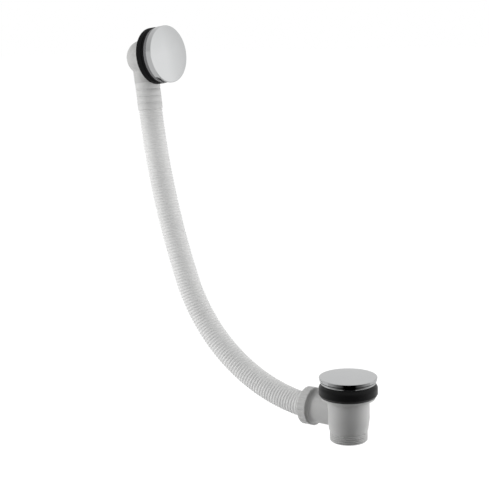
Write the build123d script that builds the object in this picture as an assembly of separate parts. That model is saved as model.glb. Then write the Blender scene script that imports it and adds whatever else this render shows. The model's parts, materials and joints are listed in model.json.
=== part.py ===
from build123d import *
import os
from math import cos, pi, radians, sin, sqrt

# Bath waste and overflow, in millimetres. The origin is the centre of the bath's waste hole, on the plane
# where the two waste washers clamp the bath floor. +Z is up along the plug's travel, and the overflow stands
# towards -X in the plane Y = 0, its axis leaning up from +X.

# Driving dimensions: fits
thread_clearance = 0.1
slide_clearance = 0.06
seat_clearance = 0.3
overcut = 1.0

# Driving dimensions: plug
cap_radius = 36.7
cap_rim_height = 4.5
cap_gap = 1.2
cap_dome = 0.7
cap_edge = 0.9
cap_skirt_taper = 0.6
cap_wall = 2.2
cap_boss_radius = 6.0
cap_boss_above_collar = 3.0
cap_spigot_radius = 23.6
cap_spigot_wall = 2.0
cap_spigot_depth = 3.7
stem_socket_depth = 7.0
seal_outer_radius = 30.6
seal_shoulder = 2.2
seal_lip_height = 1.1
seal_lip_width = 4.1
seal_body_height = 3.6
plug_travel = 9.0

# Driving dimensions: click cartridge
stem_radius = 3.0
sleeve_radius = 6.4
sleeve_bore_radius = 5.0
sleeve_length = 39.0
sleeve_collar_radius = 8.6
sleeve_collar_height = 2.2
sleeve_roof = 4.6
piston_height = 5.0
latch_ring_height = 3.0
latch_lugs = 4
latch_slot_width = 1.8
latch_slot_depth = 0.9
stem_tail_radius = 2.2
stem_tail_length = 4.5
cartridge_base_height = 3.0
spring_mean_radius = 3.55
spring_wire_radius = 0.45
spring_wire_sides = 6
spring_turns = 6

# Driving dimensions: waste flange and washers
flange_radius = 35.2
flange_foot_radius = 33.3
flange_rim_height = 3.8
flange_rim_land = 1.6
flange_lip = 1.2
flange_floor = 1.8
seat_inner_radius = 24.0
seat_outer_radius = 31.4
tail_radius = 21.0
tail_wall = 2.2
tail_depth = 13.0
throat_depth = 7.6
hub_radius = 9.6
hub_height = 10.0
hub_top = 3.0
spoke_count = 4
spoke_width = 4.0
spoke_drop = 3.0
washer_bore_radius = 22.4
washer_radius = 37.2
flange_washer_thickness = 9.8
flange_washer_shoulder = 4.4
flange_washer_land = 4.4
bath_washer_thickness = 5.7
bath_washer_land = 2.6
bath_washer_bevel = 1.8

# Driving dimensions: waste body
lip_radius = 34.0
lip_thickness = 3.0
lip_fillet = 3.5
body_height = 58.2
body_radius = 26.8
body_straight = 28.5
body_foot_radius = 24.7
outlet_radius = 23.9
outlet_thread_length = 13.8
outlet_step = 0.8
outlet_chamfer = 1.4
outlet_bore_radius = 20.3
outlet_bore_length = 14.0
branch_drop = 22.1
branch_radius = 20.2
branch_thread_radius = 21.5
branch_collar_radius = 24.2
branch_collar_reach = 48.1
branch_collar_rim = 0.8
branch_mouth = 58.5
branch_bore_radius = 14.5
branch_socket_depth = 26.0
mouth_chamfer = 2.7

# Driving dimensions: union nut
nut_radius = 24.2
nut_length = 13.5
nut_end_wall = 3.0
nut_chamfer = 2.3
nut_hole_clearance = 0.9
nut_lead = 0.8
nut_flutes = 20
nut_flute_depth = 0.8
nut_flute_radius = 2.2
slip_ring_thickness = 1.1
seal_rim_thickness = 1.3

# Driving dimensions: overflow head, measured along its axis from the plane where it clamps the bath wall
overflow_reach = 284.3
overflow_rise = 421.0
overflow_lean = 6.0
gasket_radius = 37.4
gasket_thickness = 9.3
gasket_edge = 1.2
front_washer_radius = 37.1
front_washer_thickness = 3.6
front_washer_edge = 0.8
head_bore_radius = 24.0
elbow_flange_radius = 33.5
elbow_flange_thickness = 4.0
elbow_setback = 26.4
elbow_radius = 23.6
elbow_wall = 3.0
elbow_boss_radius = 5.5
elbow_boss_length = 16.0
elbow_boss_start = 8.0
elbow_rib_count = 3
elbow_rib_width = 2.5
elbow_rib_start = 10.0
elbow_rib_length = 11.0
neck_radius = 17.0
neck_length = 33.2
neck_fillet = 5.0
neck_bore_radius = 13.0
socket_depth = 14.7
insert_radius = 3.6
insert_length = 10.0
screw_radius = 2.45
screw_length = 22.0
screw_head_radius = 4.6
screw_head_height = 2.6
screw_head_edge = 0.8
screw_recess_width = 4.0
screw_recess_depth = 1.8
bush_radius = 36.8
bush_thickness = 5.0
bush_rim_width = 5.0
bush_web = 3.0
bush_hub_radius = 7.5
bush_hub_height = 6.0
bush_windows = 4
bush_window_outer = 18.2
bush_window_inner = 9.5
bush_spoke_width = 4.0
bush_spigot_radius = 20.2
bush_spigot_wall = 1.6
bush_spigot_entry = 4.0
collar_radius = 31.0
collar_wall = 2.6
collar_height = 5.5
grip_ring_wire_radius = 0.85
grip_ring_proud = 0.75
cover_radius = 37.7
cover_depth = 7.8
cover_dome = 0.8
cover_edge = 0.7
cover_wall = 2.0
cover_skirt_wall = 1.8
cover_skirt_gap = 0.6
inlet_width = 24.0
rim_notch_width = 48.0
rim_notch_corner = 5.0

# Driving dimensions: hose
hose_crest_radius = 15.9
hose_root_radius = 14.4
hose_bore_radius = 12.8
hose_pitch = 4.1
hose_sides = 20
hose_top_tail_radius = 14.6
hose_tail_radius = 15.7
hose_tail_length = 30.0
cuff_radius = 16.7
cuff_bands = 4
cuff_band_length = 9.1
cuff_groove_width = 0.9
cuff_groove_depth = 0.8
cuff_chamfer = 0.4
hose_straight_length = 72.0
hose_upper_turn_end = 20.0
hose_lower_turn_end = 80.0
hose_end_bend_radius = 60.0
hose_end_straight = 2.0
bore_station_spacing = 30.0

# Heights of the waste, from the clamping plane
z_flange_foot = flange_washer_thickness
z_flange_rim = z_flange_foot + flange_rim_height
z_seat = z_flange_foot + flange_floor
z_cap_skirt = z_flange_rim + cap_gap
z_cap_top = z_cap_skirt + cap_rim_height
z_cap_under = z_cap_top - cap_wall
z_collar_top = hub_top + sleeve_collar_height
z_boss_foot = z_collar_top + cap_boss_above_collar
z_stem_top = z_boss_foot + stem_socket_depth
z_sleeve_foot = hub_top - sleeve_length
z_stop = z_collar_top - sleeve_roof
z_piston_top = z_stop - plug_travel - seat_clearance
z_piston_foot = z_piston_top - piston_height
z_latch_top = z_piston_foot - seat_clearance
z_latch_foot = z_latch_top - latch_ring_height
z_base_top = z_sleeve_foot + cartridge_base_height
z_body_top = -bath_washer_thickness
z_outlet = z_body_top - body_height
z_branch = z_body_top - branch_drop
z_thread = z_outlet + outlet_thread_length

# The union's places along the branch, measured out from the waste axis
nut_outer_end = branch_mouth + seal_rim_thickness + slip_ring_thickness + nut_end_wall
nut_inner_end = nut_outer_end - nut_length

# The overflow head's frame: local z along its axis towards the bath, local y up its face
lean = radians(overflow_lean)
head = Plane(
    origin=(-overflow_reach, 0, overflow_rise), x_dir=(0, 1, 0), z_dir=(cos(lean), 0, sin(lean))
)
branch = Plane(origin=(0, 0, z_branch), x_dir=(0, 1, 0), z_dir=(-1, 0, 0))
z_bush_front = front_washer_thickness + bush_thickness
z_cover_face = z_bush_front + cover_depth
z_cover_under = z_cover_face - cover_wall
z_collar_foot = front_washer_thickness + bush_web
z_grip_ring = z_collar_foot + collar_height - 2 * grip_ring_wire_radius
z_screw_seat = front_washer_thickness + bush_web
hose_socket_radius = hose_top_tail_radius + thread_clearance


def turned(*outline):
    """Solid of revolution about local Z of a closed outline of (radius, height) points and curves."""
    return revolve(Plane.XZ * make_face(outline), Axis.Z)


def ring(outer, inner, low, high):
    """Plain ring between two heights."""
    return turned(Polyline((inner, low), (outer, low), (outer, high), (inner, high), close=True))


def disc(radius, low, high):
    """Plain cylinder between two heights."""
    return Pos(0, 0, low) * Cylinder(radius, high - low, align=(Align.CENTER, Align.CENTER, Align.MIN))


def spoke(start, end, width, low, high):
    """Straight radial bar along local X between two radii."""
    bar = Box(end - start, width, high - low, align=(Align.MIN, Align.CENTER, Align.MIN))
    return Pos(start, 0, low) * bar


def outer_edges(body):
    """The circular edges of a turned body's widest wall."""
    return body.edges().filter_by(GeomType.CIRCLE).group_by(SortBy.RADIUS)[-1]


def make_plug_cap():
    """Turned cap with a domed face, a skirt, a spigot that holds the seal and a boss for the stem."""
    face = TangentArc((0, z_cap_top + cap_dome), (cap_radius - cap_edge, z_cap_top), tangent=(1, 0))
    edge = JernArc(face @ 1, (1, 0), cap_edge, -90)
    spigot_foot = z_cap_under - cap_spigot_depth
    skirt_inner = cap_radius - cap_skirt_taper - cap_wall
    under = Polyline(
        edge @ 1,
        (cap_radius - cap_skirt_taper, z_cap_skirt),
        (skirt_inner, z_cap_skirt),
        (skirt_inner, z_cap_under),
        (cap_spigot_radius, z_cap_under),
        (cap_spigot_radius, spigot_foot),
        (cap_spigot_radius - cap_spigot_wall, spigot_foot),
        (cap_spigot_radius - cap_spigot_wall, z_cap_under),
        (cap_boss_radius, z_cap_under),
        (cap_boss_radius, z_boss_foot),
        (stem_radius + slide_clearance, z_boss_foot),
        (stem_radius + slide_clearance, z_stem_top + seat_clearance),
        (0, z_stem_top + seat_clearance),
        face @ 0,
    )
    return turned(face, edge, under)


def make_plug_seal():
    """Rubber lip ring pushed over the cap's spigot, resting just clear of the flange's seat."""
    bore = cap_spigot_radius + slide_clearance
    lip_low = z_seat + seat_clearance
    lip_high = lip_low + seal_lip_height
    body_low = z_cap_under - seal_body_height
    return turned(
        Polyline(
            (bore, z_cap_under),
            (seal_outer_radius - seal_shoulder, z_cap_under),
            (seal_outer_radius, lip_high),
            (seal_outer_radius, lip_low),
            (seal_outer_radius - seal_lip_width, lip_low),
            (seal_outer_radius - seal_lip_width - seal_lip_height, body_low),
            (bore, body_low),
            close=True,
        )
    )


def make_plug_stem():
    """Brass stem with a piston that stops under the sleeve's roof and a tail for the latch ring."""
    rod = disc(stem_radius, z_piston_top, z_stem_top)
    piston = disc(sleeve_bore_radius - slide_clearance, z_piston_foot, z_piston_top)
    tail = disc(stem_tail_radius, z_piston_foot - stem_tail_length, z_piston_foot)
    return rod + piston + tail


def make_latch_ring():
    """Acetal ring under the piston, slotted round its edge into the lugs that latch the plug down."""
    outer = sleeve_bore_radius - slide_clearance
    body = ring(outer, stem_tail_radius + slide_clearance, z_latch_foot, z_latch_top)
    slot = spoke(outer - latch_slot_depth, outer + overcut, latch_slot_width, z_latch_foot, z_latch_top)
    return body - PolarLocations(0, latch_lugs) * slot


def make_click_spring():
    """Coil spring, compressed between the cartridge base and the latch ring."""
    low = z_base_top + spring_wire_radius
    height = z_latch_foot - spring_wire_radius - low
    coil = Pos(0, 0, low) * Helix(height / spring_turns, height, spring_mean_radius)
    start = Plane(origin=coil @ 0, z_dir=coil % 0)
    wire = start * RegularPolygon(spring_wire_radius, spring_wire_sides)
    return sweep(wire, path=coil, is_frenet=True)


def make_cartridge_sleeve():
    """Brass sleeve with a collar on the hub, a roof that stops the piston and a plain bore."""
    return turned(
        Polyline(
            (stem_radius + slide_clearance, z_collar_top),
            (sleeve_collar_radius, z_collar_top),
            (sleeve_collar_radius, hub_top),
            (sleeve_radius, hub_top),
            (sleeve_radius, z_sleeve_foot),
            (sleeve_bore_radius, z_sleeve_foot),
            (sleeve_bore_radius, z_stop),
            (stem_radius + slide_clearance, z_stop),
            close=True,
        )
    )


def make_cartridge_base():
    """Brass plug screwed into the sleeve's foot, the spring's seat."""
    return disc(sleeve_bore_radius - slide_clearance, z_sleeve_foot, z_base_top)


def make_waste_flange():
    """Chromed casting: dished flange, threaded tail and a hub on spokes across the throat."""
    tail_inner = tail_radius - tail_wall
    rim_arc = TangentArc(
        (flange_radius, z_flange_rim - flange_lip), (flange_foot_radius, z_flange_foot), tangent=(0, -1)
    )
    top = Polyline(
        rim_arc @ 0,
        (flange_radius, z_flange_rim),
        (flange_radius - flange_rim_land, z_flange_rim),
        (seat_outer_radius, z_seat),
        (seat_inner_radius, z_seat),
    )
    throat = TangentArc(
        (seat_inner_radius, z_seat), (tail_inner, z_seat - throat_depth), tangent=(-1, 0)
    )
    tail = Polyline(
        throat @ 1,
        (tail_inner, -tail_depth),
        (tail_radius, -tail_depth),
        (tail_radius, z_flange_foot),
        rim_arc @ 1,
    )
    shell = turned(rim_arc, top, throat, tail)
    hub_foot = hub_top - hub_height
    hub = disc(hub_radius, hub_foot, hub_top)
    spokes = PolarLocations(0, spoke_count) * spoke(
        0, tail_radius - tail_wall / 2, spoke_width, hub_foot, hub_top - spoke_drop
    )
    return shell + hub + spokes - disc(sleeve_radius + thread_clearance, hub_foot, hub_top)


def make_flange_washer():
    """Thick rubber washer that swells out below the flange's foot."""
    shoulder = washer_radius - flange_washer_shoulder
    bulge = TangentArc(
        (washer_radius, flange_washer_land), (shoulder, flange_washer_thickness), tangent=(0, 1)
    )
    rest = Polyline(
        bulge @ 1,
        (washer_bore_radius, flange_washer_thickness),
        (washer_bore_radius, 0),
        (washer_radius, 0),
        bulge @ 0,
    )
    return turned(bulge, rest)


def make_bath_washer():
    """Rubber washer under the bath, with a bevelled lower edge."""
    return turned(
        Polyline(
            (washer_bore_radius, 0),
            (washer_radius, 0),
            (washer_radius, -bath_washer_land),
            (washer_radius - bath_washer_bevel, -bath_washer_thickness),
            (washer_bore_radius, -bath_washer_thickness),
            close=True,
        )
    )


def make_waste_body():
    """Moulded tee: clamping lip, tapered barrel with a threaded outlet, and a collared branch for the hose."""
    z_lip = z_body_top - lip_thickness
    z_taper = z_body_top - body_straight
    lip = Polyline(
        (0, z_body_top), (lip_radius, z_body_top), (lip_radius, z_lip), (body_radius + lip_fillet, z_lip)
    )
    under_lip = TangentArc(lip @ 1, (body_radius, z_lip - lip_fillet), tangent=(-1, 0))
    wall = Polyline(
        under_lip @ 1,
        (body_radius, z_taper),
        (body_foot_radius, z_thread + outlet_step),
        (outlet_radius, z_thread),
        (outlet_radius, z_outlet + outlet_chamfer),
        (outlet_radius - outlet_chamfer, z_outlet),
        (0, z_outlet),
        lip @ 0,
    )
    barrel = turned(lip, under_lip, wall)

    collar_back = branch_collar_reach - branch_collar_rim
    flare_start = collar_back - branch_collar_radius + branch_radius
    flare = TangentArc(
        (branch_radius, flare_start), (branch_collar_radius, collar_back), tangent=(0, 1)
    )
    side = Polyline(
        flare @ 1,
        (branch_collar_radius, branch_collar_reach),
        (branch_thread_radius, branch_collar_reach),
        (branch_thread_radius, branch_mouth),
        (0, branch_mouth),
        (0, 0),
        (branch_radius, 0),
        flare @ 0,
    )
    tee = barrel + branch * turned(flare, side)

    tail_bore = tail_radius + thread_clearance
    chamber = turned(
        Polyline(
            (0, z_body_top),
            (tail_bore, z_body_top),
            (tail_bore, z_taper),
            (outlet_bore_radius, z_outlet + outlet_bore_length),
            (outlet_bore_radius, z_outlet),
            (0, z_outlet),
            close=True,
        )
    )
    socket = hose_tail_radius + seat_clearance
    socket_end = branch_mouth - branch_socket_depth
    passage = turned(
        Polyline(
            (0, 0),
            (branch_bore_radius, 0),
            (branch_bore_radius, socket_end),
            (socket, socket_end),
            (socket, branch_mouth - mouth_chamfer),
            (socket + mouth_chamfer, branch_mouth),
            (0, branch_mouth),
            close=True,
        )
    )
    return tee - chamber - branch * passage


def make_union_nut():
    """Moulded nut, fluted for grip, with an end wall that presses the slip ring."""
    thread_bore = branch_thread_radius + thread_clearance
    hole = hose_crest_radius + nut_hole_clearance
    wall = nut_outer_end - nut_end_wall
    blank = turned(
        Polyline(
            (thread_bore, nut_inner_end),
            (nut_radius - nut_lead, nut_inner_end),
            (nut_radius, nut_inner_end + nut_lead),
            (nut_radius, nut_outer_end - nut_chamfer),
            (nut_radius - nut_chamfer, nut_outer_end),
            (hole, nut_outer_end),
            (hole, wall),
            (thread_bore, wall),
            close=True,
        )
    )
    cutter_centre = nut_radius + nut_flute_radius - nut_flute_depth
    cutter = Pos(cutter_centre, 0, 0) * disc(nut_flute_radius, nut_inner_end + 2 * nut_lead, nut_outer_end)
    return branch * (blank - PolarLocations(0, nut_flutes) * cutter)


def make_slip_ring():
    """Hard ring that lets the nut turn on the seal."""
    low = branch_mouth + seal_rim_thickness
    inner = hose_tail_radius + seat_clearance
    return branch * ring(branch_thread_radius - seat_clearance, inner, low, low + slip_ring_thickness)


def make_hose_seal():
    """Tapered rubber ring squeezed between the slip ring and the branch's chamfered mouth."""
    bore = hose_tail_radius + thread_clearance
    mouth = hose_tail_radius + seat_clearance + mouth_chamfer
    high = branch_mouth + seal_rim_thickness
    return branch * turned(
        Polyline(
            (bore, high),
            (branch_thread_radius - seat_clearance, high),
            (branch_thread_radius - seat_clearance, branch_mouth),
            (mouth - seat_clearance, branch_mouth),
            (bore + seat_clearance, branch_mouth - mouth_chamfer + seat_clearance),
            (bore, branch_mouth - mouth_chamfer + seat_clearance),
            close=True,
        )
    )


def hose_runs():
    """The hose's centreline from the elbow's corner to the nut, as (length, radius, turn) runs.

    It leaves the elbow straight, follows a wide bend, then a closer one, and turns into the nut. The two
    main radii are worked out so that the line ends on the branch's axis.
    """
    upper_end = radians(hose_upper_turn_end)
    lower_end = radians(hose_lower_turn_end)
    start = hose_corner + hose_straight_length * hose_down
    end_run = hose_end_bend_radius * cos(lower_end) + hose_end_straight
    end_drop = hose_end_bend_radius * (1 - sin(lower_end))
    across = -nut_outer_end - end_run - start.X
    down = start.Z - z_branch - end_drop
    upper_across = cos(lean) - cos(upper_end)
    upper_down = sin(upper_end) - sin(lean)
    lower_across = cos(upper_end) - cos(lower_end)
    lower_down = sin(lower_end) - sin(upper_end)
    scale = upper_across * lower_down - lower_across * upper_down
    upper_radius = (across * lower_down - lower_across * down) / scale
    lower_radius = (upper_across * down - upper_down * across) / scale
    turns = [
        (upper_radius, upper_end - lean),
        (lower_radius, lower_end - upper_end),
        (hose_end_bend_radius, pi / 2 - lower_end),
    ]
    arcs = [(radius * turn, radius, turn) for radius, turn in turns]
    tail = hose_end_straight + hose_tail_length
    return [(hose_straight_length, None, 0)] + arcs + [(tail, None, 0)]


def hose_station(runs, distance):
    """Plane across the hose at a distance along its centreline from the elbow's corner."""
    place = hose_corner
    angle = lean
    for length, radius, turn in runs:
        step = min(distance, length)
        if radius:
            swept = turn * step / length
            across = radius * (cos(angle) - cos(angle + swept))
            down = radius * (sin(angle + swept) - sin(angle))
            angle += swept
        else:
            across = step * sin(angle)
            down = step * cos(angle)
        place += Vector(across, 0, -down)
        distance -= step
        if distance <= 0:
            break
    return Plane(origin=place, x_dir=(0, 1, 0), z_dir=(sin(angle), 0, -cos(angle)))


def hose_loft(runs, outline):
    """Straight-sided skin through (distance, radius) stations, many-sided so that its ridges stay light."""
    return loft([hose_station(runs, s) * RegularPolygon(r, hose_sides) for s, r in outline], ruled=True)


def make_overflow_hose():
    """Blow-moulded hose: plain tails, a banded cuff under the elbow and even corrugations in between."""
    runs = hose_runs()
    total = sum(length for length, radius, turn in runs)
    tail_start = total - hose_tail_length
    cuff_end = neck_length + cuff_bands * cuff_band_length
    groove = cuff_radius - cuff_groove_depth

    outline = [
        (neck_length - socket_depth + seat_clearance, hose_top_tail_radius),
        (neck_length, hose_top_tail_radius),
    ]
    for band in range(cuff_bands):
        start = neck_length + band * cuff_band_length
        end = start + cuff_band_length - cuff_groove_width
        outline += [
            (start + cuff_chamfer, cuff_radius),
            (end, cuff_radius),
            (end + cuff_chamfer, groove),
            (start + cuff_band_length, groove),
        ]
    ridges = round((tail_start - cuff_end) / hose_pitch)
    pitch = (tail_start - cuff_end) / ridges
    for ridge in range(ridges):
        start = cuff_end + ridge * pitch
        outline += [(start + pitch / 2, hose_crest_radius), (start + pitch, hose_root_radius)]
    outline += [(tail_start + cuff_chamfer, hose_tail_radius), (total, hose_tail_radius)]

    first = outline[0][0]
    bore_steps = round((total - first) / bore_station_spacing)
    bore_stations = [first + (total - first) * step / bore_steps for step in range(bore_steps + 1)]
    bore_outline = [(station, hose_bore_radius) for station in bore_stations]
    return hose_loft(runs, outline) - hose_loft(runs, bore_outline)


def make_overflow_elbow():
    """Moulded elbow: flange, barrel with a rounded back, socket for the hose and a boss for the screw."""
    flange_front = -gasket_thickness + elbow_flange_thickness
    corner = Pos(0, 0, -elbow_setback)
    down = Plane(origin=(0, 0, -elbow_setback), x_dir=(1, 0, 0), z_dir=(0, -1, 0))
    blend_centre = neck_radius + neck_fillet
    blend_end = sqrt((elbow_radius + neck_fillet) ** 2 - blend_centre**2)
    touch = Vector(blend_centre, blend_end) * (elbow_radius / (elbow_radius + neck_fillet))
    bulb = ThreePointArc((0, -elbow_radius), (elbow_radius, 0), touch)
    blend = TangentArc(touch, (neck_radius, blend_end), tangent=bulb % 1)
    neck = Polyline(blend @ 1, (neck_radius, neck_length), (0, neck_length), bulb @ 0)
    shell = down * turned(bulb, blend, neck) + disc(elbow_radius, -elbow_setback, -gasket_thickness)
    shell += disc(elbow_flange_radius, -gasket_thickness, flange_front)

    inner = elbow_radius - elbow_wall
    shell -= corner * Sphere(inner) + disc(inner, -elbow_setback, flange_front)
    shell -= disc(elbow_radius, flange_front, elbow_radius)
    shell -= down * disc(neck_bore_radius, 0, neck_length)
    shell -= down * disc(hose_socket_radius, neck_length - socket_depth, neck_length)

    boss_foot = -elbow_boss_start - elbow_boss_length
    boss = disc(elbow_boss_radius, boss_foot, -elbow_boss_start)
    rib_low = -elbow_rib_start - elbow_rib_length
    rib = spoke(0, inner + elbow_wall / 2, elbow_rib_width, rib_low, -elbow_rib_start)
    ribs = PolarLocations(0, elbow_rib_count, start_angle=90) * rib
    insert_hole = disc(
        insert_radius + slide_clearance, -elbow_boss_start - insert_length, -elbow_boss_start
    )
    tip = z_screw_seat - screw_length - seat_clearance
    tip_hole = disc(screw_radius + seat_clearance, tip, -elbow_boss_start)
    return head * (shell + boss + ribs - insert_hole - tip_hole)


def make_elbow_insert():
    """Brass threaded insert moulded flush into the elbow's boss."""
    low = -elbow_boss_start - insert_length
    return head * ring(insert_radius, screw_radius + slide_clearance, low, -elbow_boss_start)


def make_overflow_gasket():
    """Thick rubber gasket behind the bath wall, cupped over the elbow's flange."""
    cup = elbow_flange_radius + thread_clearance
    body = ring(gasket_radius, head_bore_radius, -gasket_thickness, 0)
    body -= disc(cup, -gasket_thickness, -gasket_thickness + elbow_flange_thickness)
    return head * fillet(outer_edges(body), gasket_edge)


def make_overflow_washer():
    """Rubber washer in front of the bath wall, with eased edges."""
    body = ring(front_washer_radius, head_bore_radius, 0, front_washer_thickness)
    return head * fillet(outer_edges(body), front_washer_edge)


def inlet_cut(low, high):
    """The water's way in at the bottom of the head, cut straight down through skirt and collar."""
    outer = cover_radius + overcut
    inner = sqrt((collar_radius - collar_wall) ** 2 - (inlet_width / 2) ** 2) - overcut
    return Rot(0, 0, -90) * spoke(inner, outer, inlet_width, low, high)


def make_overflow_bush():
    """Moulded bush: clamping ring, windowed web with a screw hub, locating spigot and cover collar."""
    web_front = front_washer_thickness + bush_web
    body = ring(bush_radius, bush_radius - bush_rim_width, front_washer_thickness, z_bush_front)
    body += disc(bush_radius - bush_rim_width / 2, front_washer_thickness, web_front)
    spigot_foot = -gasket_thickness + elbow_flange_thickness - bush_spigot_entry
    body += ring(bush_spigot_radius, bush_spigot_radius - bush_spigot_wall, spigot_foot, web_front)
    body += ring(collar_radius, collar_radius - collar_wall, front_washer_thickness, web_front + collar_height)
    body += disc(bush_hub_radius, web_front - bush_hub_height, web_front)

    window = ring(bush_window_outer, bush_window_inner, front_washer_thickness, web_front)
    bar = spoke(0, bush_radius, bush_spoke_width, front_washer_thickness, web_front)
    body -= window - PolarLocations(0, bush_windows) * bar
    body -= disc(screw_radius + seat_clearance, web_front - bush_hub_height, web_front)
    groove = grip_ring_radius() - grip_ring_wire_radius - slide_clearance
    half = grip_ring_wire_radius + slide_clearance
    body -= ring(collar_radius + overcut, groove, z_grip_ring - half, z_grip_ring + half)
    return head * (body - inlet_cut(z_collar_foot, z_collar_foot + collar_height))


def make_overflow_screw():
    """Pan-head screw with a hexagon recess, drawn up on the bush's hub."""
    shank = disc(screw_radius, z_screw_seat - screw_length, z_screw_seat)
    cap = disc(screw_head_radius, z_screw_seat, z_screw_seat + screw_head_height)
    cap = fillet(cap.edges().group_by(Axis.Z)[-1], screw_head_edge)
    recess_low = z_screw_seat + screw_head_height - screw_recess_depth
    recess = extrude(RegularPolygon(screw_recess_width / 2, 6, major_radius=False), screw_recess_depth)
    return head * (shank + cap - Pos(0, 0, recess_low) * recess)


def grip_ring_radius():
    """Mean radius of the ring that stands a little proud of the bush's collar."""
    return collar_radius + grip_ring_proud - grip_ring_wire_radius


def make_cover_ring():
    """Rubber ring in the collar's groove, open over the inlet."""
    loop = Pos(0, 0, z_grip_ring) * Torus(grip_ring_radius(), grip_ring_wire_radius)
    return head * (loop - inlet_cut(z_collar_foot, z_collar_foot + collar_height))


def make_overflow_cover():
    """Chromed disc with a domed face, a rim notched for the inlet and an inner skirt that grips the ring."""
    face = TangentArc((0, z_cover_face + cover_dome), (cover_radius - cover_edge, z_cover_face), tangent=(1, 0))
    edge = JernArc(face @ 1, (1, 0), cover_edge, -90)
    skirt_inner = collar_radius + grip_ring_proud + slide_clearance
    skirt_outer = skirt_inner + cover_skirt_wall
    rest = Polyline(
        edge @ 1,
        (cover_radius, z_bush_front),
        (cover_radius - cover_wall, z_bush_front),
        (cover_radius - cover_wall, z_cover_under),
        (skirt_outer, z_cover_under),
        (skirt_outer, z_bush_front + cover_skirt_gap),
        (skirt_inner, z_bush_front + cover_skirt_gap),
        (skirt_inner, z_cover_under),
        (0, z_cover_under),
        face @ 0,
    )
    notch_height = z_cover_under - z_bush_front
    mouth = RectangleRounded(rim_notch_width, 2 * notch_height, rim_notch_corner)
    notch = extrude(Plane.XZ * Pos(0, z_bush_front) * mouth, cover_radius + overcut)
    notch &= ring(cover_radius + overcut, (skirt_outer + cover_radius - cover_wall) / 2, z_bush_front, z_cover_under)
    inlet = ring(skirt_outer + overcut, skirt_inner - overcut, z_bush_front, z_cover_under)
    inlet &= inlet_cut(z_bush_front, z_cover_under)
    return head * (turned(face, edge, rest) - notch - inlet)


hose_corner = head.from_local_coords(Vector(0, 0, -elbow_setback))
hose_down = Vector(sin(lean), 0, -cos(lean))

nodes = {
    "plug_cap": make_plug_cap,
    "plug_seal": make_plug_seal,
    "plug_stem": make_plug_stem,
    "latch_ring": make_latch_ring,
    "click_spring": make_click_spring,
    "cartridge_sleeve": make_cartridge_sleeve,
    "cartridge_base": make_cartridge_base,
    "waste_flange": make_waste_flange,
    "flange_washer": make_flange_washer,
    "bath_washer": make_bath_washer,
    "waste_body": make_waste_body,
    "union_nut": make_union_nut,
    "slip_ring": make_slip_ring,
    "hose_seal": make_hose_seal,
    "overflow_hose": make_overflow_hose,
    "overflow_elbow": make_overflow_elbow,
    "elbow_insert": make_elbow_insert,
    "overflow_gasket": make_overflow_gasket,
    "overflow_washer": make_overflow_washer,
    "overflow_bush": make_overflow_bush,
    "overflow_screw": make_overflow_screw,
    "cover_ring": make_cover_ring,
    "overflow_cover": make_overflow_cover,
}

os.makedirs("parts", exist_ok=True)
for name, make in nodes.items():
    export_step(make(), f"parts/{name}.step")
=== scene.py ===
import json
from math import cos, pi, radians, sin, tan

import bpy
from mathutils import Matrix, Vector


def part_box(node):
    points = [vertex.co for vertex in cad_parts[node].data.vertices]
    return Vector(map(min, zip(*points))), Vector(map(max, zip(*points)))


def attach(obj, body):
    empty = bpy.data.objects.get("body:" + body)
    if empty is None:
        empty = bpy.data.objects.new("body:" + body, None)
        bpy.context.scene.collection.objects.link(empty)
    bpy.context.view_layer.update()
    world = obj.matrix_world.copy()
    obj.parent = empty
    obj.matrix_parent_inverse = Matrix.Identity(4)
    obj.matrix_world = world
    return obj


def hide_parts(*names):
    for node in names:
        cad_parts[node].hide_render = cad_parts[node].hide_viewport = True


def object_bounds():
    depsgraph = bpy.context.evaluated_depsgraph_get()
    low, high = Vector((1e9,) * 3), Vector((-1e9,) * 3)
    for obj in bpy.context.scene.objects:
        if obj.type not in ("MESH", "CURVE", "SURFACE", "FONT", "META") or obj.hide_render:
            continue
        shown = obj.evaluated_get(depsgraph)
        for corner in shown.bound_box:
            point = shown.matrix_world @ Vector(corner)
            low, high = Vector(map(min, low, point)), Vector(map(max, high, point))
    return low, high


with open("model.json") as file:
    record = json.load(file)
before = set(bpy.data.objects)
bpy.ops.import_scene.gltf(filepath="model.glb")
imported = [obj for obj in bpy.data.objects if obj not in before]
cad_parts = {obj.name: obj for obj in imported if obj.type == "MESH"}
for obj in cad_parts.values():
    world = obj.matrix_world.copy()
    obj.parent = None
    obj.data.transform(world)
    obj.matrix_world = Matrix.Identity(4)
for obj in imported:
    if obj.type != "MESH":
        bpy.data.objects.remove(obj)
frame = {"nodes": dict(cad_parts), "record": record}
cad_low, cad_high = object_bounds()
bpy.context.scene.view_settings.view_transform = "Standard"


# Waste body: the tee under the bath, injection moulded in pale polypropylene. It hangs by its lip from the
# flange's tail, takes the trap on its outlet and the overflow hose on its side branch. Its two moulded
# threads and the groove where the branch's thread runs out are cut here, into a copy of the plain tee.
outlet_mount = next(m for m in frame["record"]["mounts"] if m["name"] == "outlet_thread")
outlet_crest = outlet_mount["dims"]["r_mm"] / 1000
body_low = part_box("waste_body")[0]
nut_low, nut_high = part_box("union_nut")
branch_height = (nut_low.z + nut_high.z) / 2
branch_crest = 0.0215
thread_pitch = 0.002309
thread_depth = 0.0012
thread_flank = radians(27.5)
thread_root = 0.0002
thread_clear = 0.0006
thread_lead = 1.9
thread_sides = 96
outlet_turns = 7
branch_turns = 6
relief_start = 0.0094
relief_end = 0.0112
relief_radius = 0.0206
relief_outer = 0.0250
starter_size = 0.001
weld = 1e-6
turn_weld = 1e-7
sliver = 0.00002
crease = radians(32)


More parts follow.
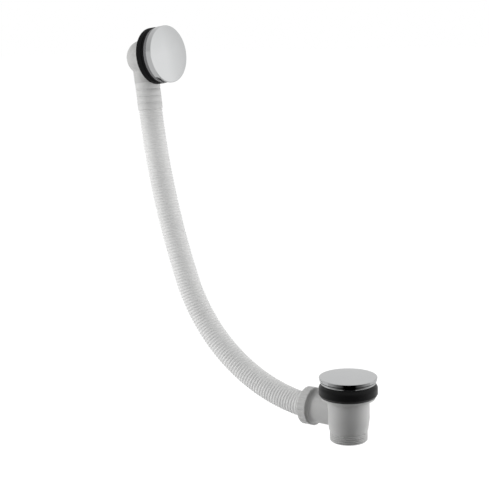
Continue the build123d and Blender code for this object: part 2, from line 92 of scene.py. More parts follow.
def edit_all(piece):
    """Opens one piece for editing with all of it selected."""
    bpy.ops.object.select_all(action="DESELECT")
    piece.select_set(True)
    bpy.context.view_layer.objects.active = piece
    bpy.ops.object.mode_set(mode="EDIT")
    bpy.ops.mesh.select_all(action="SELECT")


def chain(corners):
    """Adds a chain of edges through (radius, height) corners to the mesh that is being edited."""
    bpy.ops.mesh.select_all(action="DESELECT")
    bpy.ops.mesh.primitive_plane_add(size=starter_size)
    bpy.ops.mesh.merge(type="CENTER")
    radius, height = corners[0]
    bpy.ops.transform.translate(value=(radius, 0, height))
    for (radius, height), (next_radius, next_height) in zip(corners, corners[1:]):
        step = (next_radius - radius, 0, next_height - height)
        bpy.ops.mesh.extrude_vertices_move(TRANSFORM_OT_translate={"value": step})


def outlined(name, chains):
    """New piece that is only edges so far, along chains of (radius, height) corners in the XZ plane."""
    bpy.ops.object.select_all(action="DESELECT")
    bpy.ops.mesh.primitive_plane_add(size=starter_size)
    piece = bpy.context.object
    piece.name = name
    bpy.ops.object.mode_set(mode="EDIT")
    bpy.ops.mesh.delete(type="VERT")
    for corners in chains:
        chain(corners)
    bpy.ops.mesh.select_all(action="SELECT")
    bpy.ops.mesh.remove_doubles(threshold=weld)
    bpy.ops.object.mode_set(mode="OBJECT")
    return piece


def turned(name, chains, sides):
    """New piece spun about Z from chains of (radius, height) corners."""
    piece = outlined(name, chains)
    edit_all(piece)
    bpy.ops.mesh.spin(steps=sides, angle=2 * pi, center=(0, 0, 0), axis=(0, 0, 1))
    bpy.ops.mesh.select_all(action="SELECT")
    bpy.ops.mesh.remove_doubles(threshold=weld)
    bpy.ops.mesh.normals_make_consistent(inside=False)
    bpy.ops.object.mode_set(mode="OBJECT")
    return piece


def worked_copy(node_name, name):
    """Copy of a frame piece with its loose triangles merged, ready to be worked on."""
    piece = bpy.data.objects.new(name, frame["nodes"][node_name].data.copy())
    bpy.context.scene.collection.objects.link(piece)
    edit_all(piece)
    bpy.ops.mesh.remove_doubles(threshold=weld)
    bpy.ops.mesh.customdata_custom_splitnormals_clear()
    bpy.ops.object.mode_set(mode="OBJECT")
    return piece


def thread_cutter(crest, turn_count):
    """Helical groove about Z, closed at its ends, that starts just outside the mouth at height 0."""
    outer = crest + thread_clear
    root = crest - thread_depth
    half_root = thread_root / 2
    half_outer = half_root + (outer - root) * tan(thread_flank)
    groove = [
        (root, -half_root),
        (outer, -half_outer),
        (outer, half_outer),
        (root, half_root),
        (root, -half_root),
    ]
    cutter = outlined("thread_cutter", [groove])
    turns = cutter.modifiers.new("turns", "SCREW")
    turns.screw_offset = thread_pitch
    turns.iterations = turn_count
    turns.steps = thread_sides
    turns.render_steps = thread_sides
    bpy.ops.object.modifier_apply(modifier="turns")
    edit_all(cutter)
    bpy.ops.mesh.remove_doubles(threshold=turn_weld)
    bpy.ops.mesh.select_all(action="DESELECT")
    bpy.ops.mesh.select_mode(type="EDGE")
    bpy.ops.mesh.select_non_manifold()
    bpy.ops.mesh.fill_holes(sides=0)
    bpy.ops.mesh.select_mode(type="VERT")
    bpy.ops.mesh.select_all(action="SELECT")
    bpy.ops.mesh.normals_make_consistent(inside=False)
    bpy.ops.object.mode_set(mode="OBJECT")
    cutter.data.transform(Matrix.Translation((0, 0, -thread_lead * thread_pitch)))
    return cutter


def cut_away(piece, cutter):
    """Cuts one closed mesh out of another and deletes the cutter."""
    cut = piece.modifiers.new("cut", "BOOLEAN")
    cut.operation = "DIFFERENCE"
    cut.solver = "EXACT"
    cut.object = cutter
    bpy.context.view_layer.objects.active = piece
    bpy.ops.object.modifier_apply(modifier="cut")
    bpy.data.objects.remove(cutter)


def close_slivers(piece):
    """Closes up the needle-thin triangles that cutting or meshing leaves."""
    edit_all(piece)
    bpy.ops.mesh.quads_convert_to_tris()
    bpy.ops.mesh.remove_doubles(threshold=sliver)
    bpy.ops.mesh.dissolve_degenerate(threshold=sliver)
    bpy.ops.object.mode_set(mode="OBJECT")


def even_shading(piece, angle):
    """Smooth shading up to an angle, with the large faces kept true."""
    bpy.ops.object.select_all(action="DESELECT")
    piece.select_set(True)
    bpy.context.view_layer.objects.active = piece
    bpy.ops.object.shade_smooth_by_angle(angle=angle)
    true_faces = piece.modifiers.new("true_faces", "WEIGHTED_NORMAL")
    true_faces.keep_sharp = True
    bpy.ops.object.modifier_apply(modifier="true_faces")


def principled(material):
    """The material's own shader."""
    return material.node_tree.nodes["Principled BSDF"]


def new_material(name, base_color, roughness):
    """Principled material with its constant values set, ready for its texture nodes."""
    material = bpy.data.materials.new(name)
    material.use_nodes = True
    principled(material).inputs["Base Color"].default_value = (*base_color, 1)
    principled(material).inputs["Roughness"].default_value = roughness
    return material


def dress(piece, material):
    """Gives a piece its finished material."""
    piece.data.materials.clear()
    piece.data.materials.append(material)


def dress_nodes(material, *node_names):
    """Gives pieces of the frame their finished material."""
    for node_name in node_names:
        dress(frame["nodes"][node_name], material)


def noise(tree, place, scale, detail):
    """Noise texture on a place vector."""
    texture = tree.nodes.new("ShaderNodeTexNoise")
    texture.inputs["Scale"].default_value = scale
    texture.inputs["Detail"].default_value = detail
    tree.links.new(place, texture.inputs["Vector"])
    return texture.outputs["Fac"]


def spread(tree, value, low, high, from_low=0.3, from_high=0.7):
    """Maps a value, by default the middle of a noise's, onto a range."""
    node = tree.nodes.new("ShaderNodeMapRange")
    node.inputs["From Min"].default_value = from_low
    node.inputs["From Max"].default_value = from_high
    tree.links.new(value, node.inputs["Value"])
    for socket, given in (("To Min", low), ("To Max", high)):
        if isinstance(given, (int, float)):
            node.inputs[socket].default_value = given
        else:
            tree.links.new(given, node.inputs[socket])
    return node.outputs["Result"]


def tinted(material, factor, dark, light):
    """Base colour between two tones."""
    tree = material.node_tree
    tone = tree.nodes.new("ShaderNodeMix")
    tone.data_type = "RGBA"
    tone.inputs["A"].default_value = (*dark, 1)
    tone.inputs["B"].default_value = (*light, 1)
    tree.links.new(factor, tone.inputs["Factor"])
    tree.links.new(tone.outputs["Result"], principled(material).inputs["Base Color"])


def raised(material, height, strength, distance):
    """Fine relief in the shader's normal."""
    tree = material.node_tree
    bump = tree.nodes.new("ShaderNodeBump")
    bump.inputs["Strength"].default_value = strength
    bump.inputs["Distance"].default_value = distance
    tree.links.new(height, bump.inputs["Height"])
    tree.links.new(bump.outputs["Normal"], principled(material).inputs["Normal"])


cloud_detail = 3.0
grain_detail = 2.0
grain_strength = 0.4
grain_inputs = (
    ("Grain Scale", 2200.0),
    ("Cloud Scale", 28.0),
    ("Rough Low", 0.4),
    ("Rough High", 0.5),
)


def moulded_grain():
    """Fine spark-eroded grain and slow cloudiness of a moulded surface."""
    group = bpy.data.node_groups.new("moulded_grain", "ShaderNodeTree")
    for label, default in grain_inputs:
        socket = group.interface.new_socket(label, in_out="INPUT", socket_type="NodeSocketFloat")
        socket.default_value = default
    for label in ("Cloud", "Roughness", "Grain"):
        group.interface.new_socket(label, in_out="OUTPUT", socket_type="NodeSocketFloat")
    given = group.nodes.new("NodeGroupInput")
    result = group.nodes.new("NodeGroupOutput")
    place = group.nodes.new("ShaderNodeTexCoord").outputs["Object"]
    cloud = noise(group, place, 1.0, cloud_detail)
    group.links.new(given.outputs["Cloud Scale"], cloud.node.inputs["Scale"])
    grain = noise(group, place, 1.0, grain_detail)
    group.links.new(given.outputs["Grain Scale"], grain.node.inputs["Scale"])
    group.links.new(cloud, result.inputs["Cloud"])
    group.links.new(grain, result.inputs["Grain"])
    rough = spread(group, cloud, given.outputs["Rough Low"], given.outputs["Rough High"])
    group.links.new(rough, result.inputs["Roughness"])
    return group


grain_group = moulded_grain()


def moulded(name, dark, light, rough_low, rough_high, grain_scale, grain_height):
    """Moulded plastic or rubber: cloudy tone between two colours, with grain in the normal."""
    material = new_material(name, light, rough_high)
    tree = material.node_tree
    grain = tree.nodes.new("ShaderNodeGroup")
    grain.node_tree = grain_group
    grain.inputs["Grain Scale"].default_value = grain_scale
    grain.inputs["Rough Low"].default_value = rough_low
    grain.inputs["Rough High"].default_value = rough_high
    tinted(material, grain.outputs["Cloud"], dark, light)
    tree.links.new(grain.outputs["Roughness"], principled(material).inputs["Roughness"])
    raised(material, grain.outputs["Grain"], grain_strength, grain_height)
    return material


pale_plastic = moulded(
    "pale_plastic",
    dark=(0.56, 0.56, 0.555),
    light=(0.64, 0.64, 0.635),
    rough_low=0.38,
    rough_high=0.46,
    grain_scale=2200.0,
    grain_height=0.00003,
)
threaded_body = worked_copy("waste_body", "threaded_body")
outlet_cutter = thread_cutter(outlet_crest, outlet_turns)
outlet_cutter.data.transform(Matrix.Translation((0, 0, body_low.z)))
cut_away(threaded_body, outlet_cutter)
branch_place = Matrix.Translation((body_low.x, 0, branch_height)) @ Matrix.Rotation(pi / 2, 4, "Y")
branch_cutter = thread_cutter(branch_crest, branch_turns)
branch_cutter.data.transform(branch_place)
cut_away(threaded_body, branch_cutter)
relief_outline = [
    (relief_radius, relief_start),
    (relief_outer, relief_start),
    (relief_outer, relief_end),
    (relief_radius, relief_end),
    (relief_radius, relief_start),
]
relief_cutter = turned("relief_cutter", [relief_outline], thread_sides)
relief_cutter.data.transform(branch_place)
cut_away(threaded_body, relief_cutter)
close_slivers(threaded_body)
even_shading(threaded_body, crease)
dress(threaded_body, pale_plastic)
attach(threaded_body, "waste")
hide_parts("waste_body")


# Waste washers: two black rubber rings that clamp the bath floor, the thick upper one swelling out below the
# flange and the flatter lower one on the body's lip. They are pressed in a mould and lightly bloomed.
black_rubber = moulded(
    "black_rubber",
    dark=(0.002, 0.002, 0.0023),
    light=(0.004, 0.004, 0.0044),
    rough_low=0.42,
    rough_high=0.56,
    grain_scale=1500.0,
    grain_height=0.00004,
)
rubber_shader = principled(black_rubber)
rubber_shader.inputs["Specular IOR Level"].default_value = 0.15
rubber_shader.inputs["Sheen Weight"].default_value = 0.4
rubber_shader.inputs["Sheen Roughness"].default_value = 0.42
dress_nodes(black_rubber, "flange_washer", "bath_washer")


# Waste flange: cast brass, turned and chromed, with a dished rim that stands on the upper washer and a hub on
# spokes across its throat. Its tail screws into the body and draws the washers together.
haze_scale = 60.0
haze_detail = 4.0
haze_dimming = 0.96


def plated(name, color, rough_low, rough_high):
    """Bright chromium plate with faint polishing haze."""
    material = new_material(name, color, rough_low)
    principled(material).inputs["Metallic"].default_value = 1.0
    tree = material.node_tree
    place = tree.nodes.new("ShaderNodeTexCoord").outputs["Object"]
    haze = noise(tree, place, haze_scale, haze_detail)
    rough = spread(tree, haze, rough_low, rough_high)
    tree.links.new(rough, principled(material).inputs["Roughness"])
    tinted(material, haze, [haze_dimming * c for c in color], color)
    return material


chrome = plated(
    "chrome_plate",
    color=(0.7, 0.708, 0.712),
    rough_low=0.04,
    rough_high=0.08,
)
dress_nodes(chrome, "waste_flange")


# Click cartridge: a turned brass sleeve screwed down into the flange's hub, with a base plug, a steel spring
# and the stem inside. An acetal latch ring on the stem's tail holds the plug down or lets it up.
tool_detail = 1.0
tool_strength = 0.3
tool_height = 0.00002
stain_scale = 120.0
stain_detail = 3.0


def along(tree, place, axis):
    """One coordinate of a place vector."""
    parts = tree.nodes.new("ShaderNodeSeparateXYZ")
    tree.links.new(place, parts.inputs["Vector"])
    return parts.outputs[axis]


def lathe_lines():
    """Fine rings left by a turning tool, across the axis of the waste."""
    group = bpy.data.node_groups.new("lathe_lines", "ShaderNodeTree")
    socket = group.interface.new_socket("Lines per Metre", in_out="INPUT", socket_type="NodeSocketFloat")
    socket.default_value = 4000.0
    for label in ("Line", "Stain"):
        group.interface.new_socket(label, in_out="OUTPUT", socket_type="NodeSocketFloat")
    given = group.nodes.new("NodeGroupInput")
    result = group.nodes.new("NodeGroupOutput")
    place = group.nodes.new("ShaderNodeTexCoord").outputs["Object"]
    line = group.nodes.new("ShaderNodeTexNoise")
    line.noise_dimensions = "1D"
    line.inputs["Detail"].default_value = tool_detail
    group.links.new(along(group, place, "Z"), line.inputs["W"])
    group.links.new(given.outputs["Lines per Metre"], line.inputs["Scale"])
    group.links.new(line.outputs["Fac"], result.inputs["Line"])
    group.links.new(noise(group, place, stain_scale, stain_detail), result.inputs["Stain"])
    return group


lathe_group = lathe_lines()


def machined(name, dark, light, rough_low, rough_high, lines):
    """Machined metal with tool rings and a little staining."""
    material = new_material(name, light, rough_low)
    principled(material).inputs["Metallic"].default_value = 1.0
    tree = material.node_tree
    tooling = tree.nodes.new("ShaderNodeGroup")
    tooling.node_tree = lathe_group
    tooling.inputs["Lines per Metre"].default_value = lines
    tinted(material, tooling.outputs["Stain"], dark, light)
    rough = spread(tree, tooling.outputs["Line"], rough_low, rough_high)
    tree.links.new(rough, principled(material).inputs["Roughness"])
    raised(material, tooling.outputs["Line"], tool_strength, tool_height)
    return material


brass = machined(
    "turned_brass",
    dark=(0.52, 0.36, 0.15),
    light=(0.66, 0.48, 0.22),
    rough_low=0.2,
    rough_high=0.36,
    lines=3500.0,
)
steel = machined(
    "drawn_steel",
    dark=(0.42, 0.42, 0.42),
    light=(0.55, 0.55, 0.55),
    rough_low=0.24,
    rough_high=0.38,
    lines=2500.0,
)
acetal = moulded(
    "acetal",
    dark=(0.74, 0.74, 0.71),
    light=(0.8, 0.8, 0.77),
    rough_low=0.25,
    rough_high=0.32,
    grain_scale=2600.0,
    grain_height=0.00001,
)
dress_nodes(brass, "cartridge_sleeve", "cartridge_base", "plug_stem")
dress_nodes(steel, "click_spring")
dress_nodes(acetal, "latch_ring")


# Plug: a turned and chromed brass cap on the stem, with a black lip seal pushed over the spigot under it.
# The cap's polished top is evened out in a merged copy.


def evened_copy(node_name, name, material, body):
    """Merged copy of a frame piece that stands for it, with its slivers closed and its shading evened out."""
    piece = worked_copy(node_name, name)
    close_slivers(piece)
    even_shading(piece, crease)
    dress(piece, material)
    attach(piece, body)
    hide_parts(node_name)


dress_nodes(black_rubber, "plug_seal")
evened_copy("plug_cap", "polished_cap", chrome, "plug")


# Hose union: a fluted nut of the body's plastic, with a slip ring and a tapered rubber seal inside it that
# grip the hose's plain end in the branch.
dress_nodes(black_rubber, "hose_seal")
dress_nodes(acetal, "slip_ring")
dress_nodes(pale_plastic, "union_nut")


# Overflow hose: one blow-moulded length of white plastic, with a banded cuff under the elbow, even ridges
# round the whole bend and a plain tail in the union. It stands in its set curve between its two fittings.
# Its cuff is darkened by height towards the elbow with painted shade, where the cover and elbow shade it.
wall_clamp = next(m for m in frame["record"]["mounts"] if m["name"] == "overflow_wall_clamp")
head_axis = Vector(wall_clamp["axis"])
head_place = Vector(wall_clamp["pos_m"])
elbow_setback = 0.0264
hose_corner = head_place - elbow_setback * head_axis
hose_lean = head_axis.angle(Vector((1, 0, 0)))
hose_straight = 0.072
upper_turn_end = radians(20)
lower_turn_end = radians(80)
end_bend_radius = 0.060
end_straight = 0.002
tail_length = 0.030
hose_crest = 0.0159
hose_root = 0.0152
hose_bore = 0.0128
hose_pitch = 0.0041
top_tail_radius = 0.0146
tail_radius = 0.0157
neck_length = 0.0332
socket_entry = 0.0144
cuff_radius = 0.0167
cuff_bands = 4
cuff_band = 0.0091
cuff_groove = 0.0014
cuff_depth = 0.0008
hose_sides = 64
ridge_steps = 8
line_steps = 96
seam_weld = 1e-5
ridge_crease = radians(50)
# Painted shade on the cuff: how much darker it gets, and the heights over which it darkens.
cuff_painted_shade = 0.14
cuff_shade_heights = (0.31, 0.36)


def heading(angle):
    """Direction of the hose's line at an angle from straight down."""
    return Vector((sin(angle), 0, -cos(angle)))


def hose_arcs():
    """Radius and turn of the hose's three bends, the two main radii fitted so that it meets the branch."""
    start = hose_corner + hose_straight * heading(hose_lean)
    end_run = end_bend_radius * cos(lower_turn_end) + end_straight
    end_drop = end_bend_radius * (1 - sin(lower_turn_end))
    across = nut_low.x - end_run - start.x
    down = start.z - branch_height - end_drop
    upper_across = cos(hose_lean) - cos(upper_turn_end)
    upper_down = sin(upper_turn_end) - sin(hose_lean)
    lower_across = cos(upper_turn_end) - cos(lower_turn_end)
    lower_down = sin(lower_turn_end) - sin(upper_turn_end)
    scale = upper_across * lower_down - lower_across * upper_down
    upper_radius = (across * lower_down - lower_across * down) / scale
    lower_radius = (upper_across * down - upper_down * across) / scale
    return [
        (upper_radius, upper_turn_end - hose_lean),
        (lower_radius, lower_turn_end - upper_turn_end),
        (end_bend_radius, pi / 2 - lower_turn_end),
    ]


def hose_line():
    """The hose's centreline as a Bezier curve of straight runs and arcs, and its length."""
    bpy.ops.object.select_all(action="DESELECT")
    bpy.ops.curve.primitive_bezier_curve_add()
    line = bpy.context.object
    line.name = "hose_line"
    spline = line.data.splines[0]
    runs = [(hose_straight, None, 0)]
    runs += [(radius * turn, radius, turn) for radius, turn in hose_arcs()]
    runs += [(end_straight + tail_length, None, 0)]
    spline.bezier_points.add(len(runs) - 1)
    spline.resolution_u = line_steps
    line.data.twist_mode = "MINIMUM"
    point = hose_corner.copy()
    angle = hose_lean
    knots = spline.bezier_points
    for knot in knots:
        knot.handle_left_type = "FREE"
        knot.handle_right_type = "FREE"
    knots[0].handle_left = point
    for index, (length, radius, turn) in enumerate(runs):
        reach = length / 3
        ahead = point + length * heading(angle)
        if radius:
            reach = 4 / 3 * tan(turn / 4) * radius
            across = radius * (cos(angle) - cos(angle + turn))
            down = radius * (sin(angle + turn) - sin(angle))
            ahead = point + Vector((across, 0, -down))
        knots[index].co = point
        knots[index].handle_right = point + reach * heading(angle)
        angle += turn
        knots[index + 1].handle_left = ahead - reach * heading(angle)
        knots[index + 1].co = ahead
        point = ahead
    knots[-1].handle_right = point
    return line, sum(length for length, radius, turn in runs)


def ridge_outline(pitch):
    """One ridge from root to root, as a wave with a rounded crest."""
    outline = []
    for step in range(ridge_steps + 1):
        rise = (1 - cos(2 * pi * step / ridge_steps)) / 2
        outline.append((hose_root + (hose_crest - hose_root) * rise, pitch * step / ridge_steps))
    return outline


hose_path, hose_length = hose_line()
cuff_end = neck_length + cuff_bands * cuff_band
tail_start = hose_length - tail_length
ridge_count = round((tail_start - cuff_end) / hose_pitch)
ridge_pitch = (tail_start - cuff_end) / ridge_count

cuff_outline = [
    (hose_bore, cuff_end),
    (hose_bore, neck_length - socket_entry),
    (top_tail_radius, neck_length - socket_entry),
    (top_tail_radius, neck_length),
    (cuff_radius, neck_length),
]
for band in range(1, cuff_bands):
    groove = neck_length + band * cuff_band
    cuff_outline += [
        (cuff_radius, groove - cuff_groove / 2),
        (cuff_radius - cuff_depth, groove),
        (cuff_radius, groove + cuff_groove / 2),
    ]
cuff_outline += [(cuff_radius, cuff_end - cuff_groove / 2), (hose_root, cuff_end)]
tail_outline = [
    (hose_root, tail_start),
    (tail_radius, tail_start + cuff_groove),
    (tail_radius, hose_length),
    (hose_bore, hose_length),
    (hose_bore, tail_start),
]
hose_cuff = turned("hose_cuff", [cuff_outline], hose_sides)
hose_tail = turned("hose_tail", [tail_outline], hose_sides)
hose = turned("hose", [ridge_outline(ridge_pitch), [(hose_bore, ridge_pitch), (hose_bore, 0)]], hose_sides)
hose.data.transform(Matrix.Translation((0, 0, cuff_end)))
ridges = hose.modifiers.new("ridges", "ARRAY")
ridges.count = ridge_count
ridges.use_relative_offset = False
ridges.use_constant_offset = True
ridges.constant_offset_displace = (0, 0, ridge_pitch)
bpy.ops.object.select_all(action="DESELECT")
bpy.context.view_layer.objects.active = hose
bpy.ops.object.modifier_apply(modifier="ridges")
for part in (hose_cuff, hose_tail, hose):
    part.select_set(True)
bpy.ops.object.join()
edit_all(hose)
bpy.ops.mesh.remove_doubles(threshold=seam_weld)
bpy.ops.mesh.normals_make_consistent(inside=False)
bpy.ops.object.mode_set(mode="OBJECT")
bend = hose.modifiers.new("bend", "CURVE")
bend.object = hose_path
bend.deform_axis = "POS_Z"
bpy.ops.object.modifier_apply(modifier="bend")
bpy.ops.object.shade_smooth_by_angle(angle=ridge_crease)
bpy.data.objects.remove(hose_path)
hose_plastic = moulded(
    "hose_plastic",
    dark=(0.7, 0.7, 0.695),
    light=(0.77, 0.77, 0.765),
    rough_low=0.48,
    rough_high=0.58,
    grain_scale=2600.0,
    grain_height=0.00002,
)
hose_tree = hose_plastic.node_tree
hose_place = hose_tree.nodes.new("ShaderNodeTexCoord").outputs["Object"]
hose_color = principled(hose_plastic).inputs["Base Color"]
# Painted shade: the hose's colour darkens up the cuff towards the elbow, standing in for the shade there.
cuff_shade_share = spread(hose_tree, along(hose_tree, hose_place, "Z"), 0.0, cuff_painted_shade, *cuff_shade_heights)
cuff_shade_tone = hose_tree.nodes.new("ShaderNodeMix")
cuff_shade_tone.data_type = "RGBA"
cuff_shade_tone.inputs["B"].default_value = (0, 0, 0, 1)
hose_tree.links.new(cuff_shade_share, cuff_shade_tone.inputs["Factor"])
hose_tree.links.new(hose_color.links[0].from_socket, cuff_shade_tone.inputs["A"])
hose_tree.links.new(cuff_shade_tone.outputs["Result"], hose_color)
dress(hose, hose_plastic)
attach(hose, "waste")
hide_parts("overflow_hose")


# Overflow elbow: moulded in the body's pale plastic, with a rounded back, a socket for the hose and a brass
# insert for the screw in a boss on three ribs. Its colour is a darker copy of that plastic, as painted shade.
# Painted shade: the body's plastic made darker to tone down the light that falls on the elbow at the top.
shaded_elbow_plastic = moulded(
    "shaded_elbow_plastic",
    dark=(0.47, 0.47, 0.465),
    light=(0.54, 0.54, 0.535),
    rough_low=0.38,
    rough_high=0.46,
    grain_scale=2200.0,
    grain_height=0.00003,
)
evened_copy("overflow_elbow", "rounded_elbow", shaded_elbow_plastic, "waste")
dress_nodes(brass, "elbow_insert")


# Overflow gasket and washer: softer, matt black rubber rings, pressed in a mould, on both sides of the bath's
# wall. The thick one seals the elbow's flange and the thin one lies under the bush.
matt_rubber = moulded(
    "matt_rubber",
    dark=(0.003, 0.003, 0.0035),
    light=(0.007, 0.007, 0.0075),
    rough_low=0.5,
    rough_high=0.62,
    grain_scale=1300.0,
    grain_height=0.00005,
)
principled(matt_rubber).inputs["Specular IOR Level"].default_value = 0.08
dress_nodes(matt_rubber, "overflow_gasket", "overflow_washer")


# Overflow bush: dark grey moulding with windows for the water and a collar for the cover. A steel screw draws
# it against the washer and clamps the bath's wall.
grey_plastic = moulded(
    "grey_plastic",
    dark=(0.13, 0.13, 0.135),
    light=(0.17, 0.17, 0.175),
    rough_low=0.2,
    rough_high=0.28,
    grain_scale=2200.0,
    grain_height=0.00003,
)
dress_nodes(grey_plastic, "overflow_bush")
dress_nodes(steel, "overflow_screw")


# Overflow cover: chromed disc pushed over the rubber ring on the bush's collar, open at the bottom of its
# rim. Its slightly domed face is buffed, so its triangles are evened out in a merged copy.
dress_nodes(black_rubber, "cover_ring")
evened_copy("overflow_cover", "buffed_cover", chrome, "waste")


# Studio: a pale floor well below the held part, a white surround and a soft lamp on each side. Close to the
# waste, on the camera's side, a card shades its pale wall, and a round screen and a card on the floor give
# its chrome and rubber something dark to mirror.
camera_place = Vector((0.72776, -1.23923, 0.44903))
camera_turn = radians(35.426)
camera_pitch = radians(10.207)
camera_roll = radians(-1.621)
camera_lens = 87.05
camera_sensor = 36.0
camera_data = bpy.data.cameras.new("camera")
camera_data.lens = camera_lens
camera_data.sensor_width = camera_sensor
camera = bpy.data.objects.new("camera", camera_data)
camera.location = camera_place
camera_aim = Matrix.Rotation(camera_turn, 3, "Z") @ Matrix.Rotation(pi / 2 - camera_pitch, 3, "X")
camera.rotation_euler = (camera_aim @ Matrix.Rotation(camera_roll, 3, "Z")).to_euler()
bpy.context.scene.collection.objects.link(camera)
bpy.context.scene.camera = camera
to_camera = Vector((sin(camera_turn), -cos(camera_turn), 0))
to_right = Vector((cos(camera_turn), sin(camera_turn), 0))


def either(tree, first, second):
    """The larger of two values."""
    node = tree.nodes.new("ShaderNodeMath")
    node.operation = "MAXIMUM"
    tree.links.new(first, node.inputs[0])
    tree.links.new(second, node.inputs[1])
    return node.outputs["Value"]


def product(tree, first, second):
    """Two values multiplied."""
    node = tree.nodes.new("ShaderNodeMath")
    node.operation = "MULTIPLY"
    tree.links.new(first, node.inputs[0])
    tree.links.new(second, node.inputs[1])
    return node.outputs["Value"]


def chosen(tree, factor, first, second):
    """Mix of two shaders."""
    node = tree.nodes.new("ShaderNodeMixShader")
    if isinstance(factor, (int, float)):
        node.inputs["Fac"].default_value = factor
    else:
        tree.links.new(factor, node.inputs["Fac"])
    tree.links.new(first, node.inputs[1])
    tree.links.new(second, node.inputs[2])
    return node.outputs["Shader"]


def facing(tree, sight, direction):
    """How far a direction of sight points the given way, from -1 to 1."""
    node = tree.nodes.new("ShaderNodeVectorMath")
    node.operation = "DOT_PRODUCT"
    tree.links.new(sight, node.inputs[0])
    node.inputs[1].default_value = direction.normalized()
    return node.outputs["Value"]


def glow(tree, strength):
    """White emission."""
    node = tree.nodes.new("ShaderNodeEmission")
    node.inputs["Color"].default_value = (1, 1, 1, 1)
    node.inputs["Strength"].default_value = strength
    return node.outputs["Emission"]


floor_height = -0.18
floor_size = 60.0
floor_color = (0.9, 0.9, 0.9)
floor_rough = 0.9
floor_white = 1.2
floor_lit_share = 0.25
floor_gloss = 0.62
bpy.ops.object.select_all(action="DESELECT")
bpy.ops.mesh.primitive_plane_add(size=floor_size, location=(0, 0, floor_height))
floor = bpy.context.object
floor.name = "floor"
floor_material = new_material("pale_floor", floor_color, floor_rough)
floor.data.materials.append(floor_material)
floor_tree = floor_material.node_tree
floor_rays = floor_tree.nodes.new("ShaderNodeLightPath")
floor_lit = principled(floor_material).outputs["BSDF"]
floor_seen = chosen(floor_tree, floor_lit_share, glow(floor_tree, floor_white), floor_lit)
floor_mirrored = either(
    floor_tree, floor_rays.outputs["Is Glossy Ray"], floor_rays.outputs["Is Transmission Ray"]
)
floor_in_gloss = chosen(floor_tree, floor_mirrored, floor_lit, glow(floor_tree, floor_gloss))
floor_look = chosen(floor_tree, floor_rays.outputs["Is Camera Ray"], floor_in_gloss, floor_seen)
floor_under = floor_tree.nodes.new("ShaderNodeNewGeometry").outputs["Backfacing"]
floor_clear = floor_tree.nodes.new("ShaderNodeBsdfTransparent").outputs["BSDF"]
floor_look = chosen(floor_tree, floor_under, floor_look, floor_clear)
floor_tree.links.new(floor_look, floor_tree.nodes["Material Output"].inputs["Surface"])

surround_light = 0.5
bright_side = Vector((0.62, 0.77, 0.1))
bright_span = (-1.0, 1.0)
bright_tones = (0.62, 1.0)
high_span = (0.12, 0.22)
high_tones = (1.0, 0.8)
dim_side = Vector((0.17, 0.98, 0.1))
dim_span = (0.87, 0.93)
dim_tones = (1.0, 0.74)
world = bpy.data.worlds.new("studio")
bpy.context.scene.world = world
world.use_nodes = True
surround = world.node_tree
lighting = surround.nodes["Background"]
lighting.inputs["Color"].default_value = (1, 1, 1, 1)
lighting.inputs["Strength"].default_value = surround_light
seen = surround.nodes.new("ShaderNodeBackground")
seen.inputs["Color"].default_value = (1, 1, 1, 1)
sight = surround.nodes.new("ShaderNodeTexCoord").outputs["Generated"]
side_strength = spread(surround, facing(surround, sight, bright_side), *bright_tones, *bright_span)
height_strength = spread(surround, along(surround, sight, "Z"), *high_tones, *high_span)
dim_strength = spread(surround, facing(surround, sight, dim_side), *dim_tones, *dim_span)
mirrored_strength = product(surround, product(surround, side_strength, height_strength), dim_strength)
world_rays = surround.nodes.new("ShaderNodeLightPath")
seen_strength = either(surround, mirrored_strength, world_rays.outputs["Is Camera Ray"])
surround.links.new(seen_strength, seen.inputs["Strength"])
seen_rays = either(surround, world_rays.outputs["Is Camera Ray"], world_rays.outputs["Is Glossy Ray"])
seen_rays = either(surround, seen_rays, world_rays.outputs["Is Transmission Ray"])
world_look = chosen(surround, seen_rays, lighting.outputs["Background"], seen.outputs["Background"])
surround.links.new(world_look, surround.nodes["World Output"].inputs["Surface"])

lamp_reach = 1.4
lamp_size = (1.2, 1.4)
lamp_power = 13.0
lamp_lift = Vector((0, 0, 0.3))
part_middle = (cad_low + cad_high) / 2
for side, side_name in ((-1, "left_lamp"), (1, "right_lamp")):
    lamp_data = bpy.data.lights.new(side_name, "AREA")
    lamp_data.shape = "RECTANGLE"
    lamp_data.size, lamp_data.size_y = lamp_size
    lamp_data.energy = lamp_power
    lamp = bpy.data.objects.new(side_name, lamp_data)
    lamp.location = part_middle + side * lamp_reach * to_right + lamp_lift
    lamp.rotation_euler = (part_middle - lamp.location).to_track_quat("-Z", "Y").to_euler()
    lamp.visible_camera = False
    lamp.visible_glossy = False
    bpy.context.scene.collection.objects.link(lamp)

card_material = new_material("dark_card", base_color=(0.02, 0.02, 0.02), roughness=0.9)
shade_distance = 0.12
shade_width = 0.28
shade_top = -0.005


def dark_card(name, width, length, place, turn):
    """Flat dark card that the camera doesn't see."""
    bpy.ops.object.select_all(action="DESELECT")
    bpy.ops.mesh.primitive_plane_add(size=1)
    card = bpy.context.object
    card.name = name
    card.scale = (width, length, 1)
    card.location = place
    card.rotation_euler = turn
    card.data.materials.append(card_material)
    card.visible_camera = False
    return card


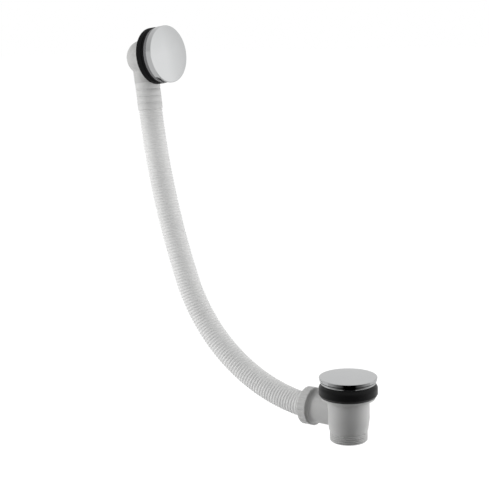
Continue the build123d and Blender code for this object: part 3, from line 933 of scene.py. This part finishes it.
shade_place = shade_distance * to_camera + Vector((0, 0, (shade_top + floor_height) / 2))
upright = (pi / 2, 0, camera_turn)
shade_card = dark_card("shade_card", shade_width, shade_top - floor_height, shade_place, upright)
shade_card.visible_glossy = False

screen_radius = 0.20
screen_top = 0.02
screen_steps = 48
screen_tones = ((0.0, 0.0), (0.07, 0.0), (0.13, 0.05), (0.3, 0.12), (0.65, 0.34), (1.0, 0.45))
screen = outlined("gloss_screen", [[(screen_radius, floor_height), (screen_radius, screen_top)]])
edit_all(screen)
bpy.ops.mesh.spin(steps=screen_steps, angle=pi, center=(0, 0, 0), axis=(0, 0, 1))
bpy.ops.object.mode_set(mode="OBJECT")
screen.rotation_euler = (0, 0, camera_turn)
screen_material = bpy.data.materials.new("gloss_screen")
screen_material.use_nodes = True
screen_tree = screen_material.node_tree
screen_place = screen_tree.nodes.new("ShaderNodeTexCoord").outputs["Object"]
screen_side = spread(screen_tree, along(screen_tree, screen_place, "Y"), 0.0, 1.0, -screen_radius, 0.0)
screen_ramp = screen_tree.nodes.new("ShaderNodeValToRGB")
screen_tree.links.new(screen_side, screen_ramp.inputs["Fac"])
while len(screen_ramp.color_ramp.elements) < len(screen_tones):
    screen_ramp.color_ramp.elements.new(0.5)
for stop, (side, tone) in zip(screen_ramp.color_ramp.elements, screen_tones):
    stop.position = side
    stop.color = (tone, tone, tone, 1)
screen_glow = screen_tree.nodes.new("ShaderNodeEmission")
screen_tree.links.new(screen_ramp.outputs["Color"], screen_glow.inputs["Color"])
screen_surface = screen_tree.nodes["Material Output"].inputs["Surface"]
screen_tree.links.new(screen_glow.outputs["Emission"], screen_surface)
screen.data.materials.append(screen_material)
screen.visible_camera = False
screen.visible_diffuse = False
screen.visible_shadow = False

floor_card_width = 0.16
floor_card_lift = 0.002
floor_card_place = screen_radius / 2 * to_camera + Vector((0, 0, floor_height + floor_card_lift))
flat = (0, 0, camera_turn)
floor_card = dark_card("floor_card", floor_card_width, screen_radius, floor_card_place, flat)
floor_card.visible_diffuse = False
floor_card.visible_shadow = False
